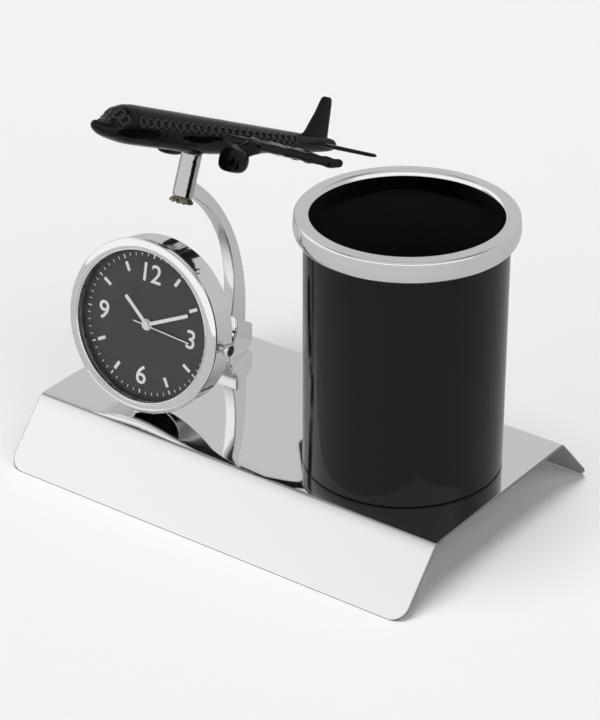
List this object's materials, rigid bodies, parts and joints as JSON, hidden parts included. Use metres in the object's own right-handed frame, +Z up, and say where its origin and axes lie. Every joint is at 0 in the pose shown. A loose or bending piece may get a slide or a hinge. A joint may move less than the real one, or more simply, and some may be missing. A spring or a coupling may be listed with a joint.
{
  "type": "pen holder clock",
  "caption": "Desk pen holder on a bent mirror-plated base, with a tilted round clock and an arched stand carrying a swivelling model airliner.",
  "frame": {"origin": "bottom centre of the whole object's bounding box, on the desk", "axes": "+Z up from the desk; +X along the base's length towards the cup; the clock faces -Y"},
  "size_m": [0.186, 0.1524, 0.1469],
  "materials": {
    "mirror_plate": "mirror-polished plating on a bent steel sheet",
    "mirror_chrome": "polished chrome plating",
    "black_enamel": "gloss black enamel on a drawn steel tube",
    "gloss_black": "gloss black lacquer on a casting",
    "zinc_steel": "zinc-plated steel",
    "bronzed_steel": "bronzed steel, speckled",
    "brushed_ring": "satin steel",
    "crystal_glass": "clear flat mineral glass",
    "dial_grey": "matt dark grey paint with light grey print",
    "hand_grey": "satin light grey paint",
    "black_plastic": "moulded black plastic",
    "pale_plastic": "moulded white plastic",
    "brass_part": "plain brass",
    "copper_wire": "enamelled copper wire",
    "board_green": "green solder mask on glass-fibre board"
  },
  "bodies": {
    "body": {"base_plate": "mirror_plate", "cup_body": "black_enamel", "cup_rim": "mirror_chrome", "cup_screw": "zinc_steel", "cup_washer": "zinc_steel", "cup_nut": "zinc_steel", "stand_foot": "mirror_chrome", "stand_arm": "mirror_chrome", "post": "mirror_chrome", "post_washer": "bronzed_steel", "foot_washer": "zinc_steel", "foot_screw": "zinc_steel", "clock_case": "mirror_chrome", "bezel": "mirror_chrome", "crystal": "crystal_glass", "dial": "dial_grey", "dial_ring": "brushed_ring", "movement_holder": "black_plastic", "case_back": "black_plastic", "clock_screw": "zinc_steel", "main_plate": "pale_plastic", "movement_cover": "brushed_ring", "battery": "brushed_ring", "battery_clip": "brass_part", "coil": "copper_wire", "circuit_board": "board_green", "crown_tube": "zinc_steel"},
    "airliner": {"fuselage": "gloss_black", "wing": "gloss_black", "tailplane": "gloss_black", "post_screw": "zinc_steel"},
    "minute_hand": {"minute_hand": "hand_grey", "cannon_pinion": "brass_part"},
    "hour_hand": {"hour_hand": "hand_grey", "hour_wheel": "pale_plastic"},
    "minute_wheel": {"minute_wheel": "pale_plastic"},
    "second_hand": {"second_hand": "hand_grey", "second_wheel": "pale_plastic"},
    "setting_lever": {"setting_lever": "zinc_steel"},
    "crown": {"crown": "mirror_chrome", "stem": "zinc_steel"}
  },
  "joints": [
    {"name": "airliner_swivel", "type": "hinge", "parent": "body", "child": "airliner", "pos_m": [-0.055, -0.00491, 0.11806], "axis": [0, 0.3746, 0.9272], "range_deg": [-40, 180]},
    {"name": "minute_hand_spin", "type": "hinge", "parent": "body", "child": "minute_hand", "pos_m": [-0.05273, -0.03771, 0.05889], "axis": [-0.0411, 0.9811, -0.1891], "continuous": true},
    {"name": "hour_hand_spin", "type": "hinge", "parent": "body", "child": "hour_hand", "pos_m": [-0.05273, -0.03771, 0.05889], "axis": [-0.0411, 0.9811, -0.1891], "continuous": true},
    {"name": "minute_wheel_spin", "type": "hinge", "parent": "body", "child": "minute_wheel", "pos_m": [-0.05757, -0.03674, 0.05542], "axis": [-0.0411, 0.9811, -0.1891], "continuous": true},
    {"name": "second_hand_spin", "type": "hinge", "parent": "body", "child": "second_hand", "pos_m": [-0.05273, -0.03771, 0.05889], "axis": [-0.0411, 0.9811, -0.1891], "continuous": true},
    {"name": "crown_pull", "type": "slide", "parent": "body", "child": "setting_lever", "axis": [0.999, 0.0372, -0.024], "range_m": [0, 0.0012]},
    {"name": "crown_turn", "type": "hinge", "parent": "setting_lever", "child": "crown", "pos_m": [-0.01788, -0.03356, 0.0575], "axis": [0.999, 0.0372, -0.024], "continuous": true}
  ],
  "couplings": [
    {"joint": "hour_hand_spin", "follows": "minute_hand_spin", "ratio": 0.083333},
    {"joint": "minute_wheel_spin", "follows": "minute_hand_spin", "ratio": -0.33333},
    {"joint": "second_hand_spin", "follows": "minute_hand_spin", "ratio": 60}
  ]
}
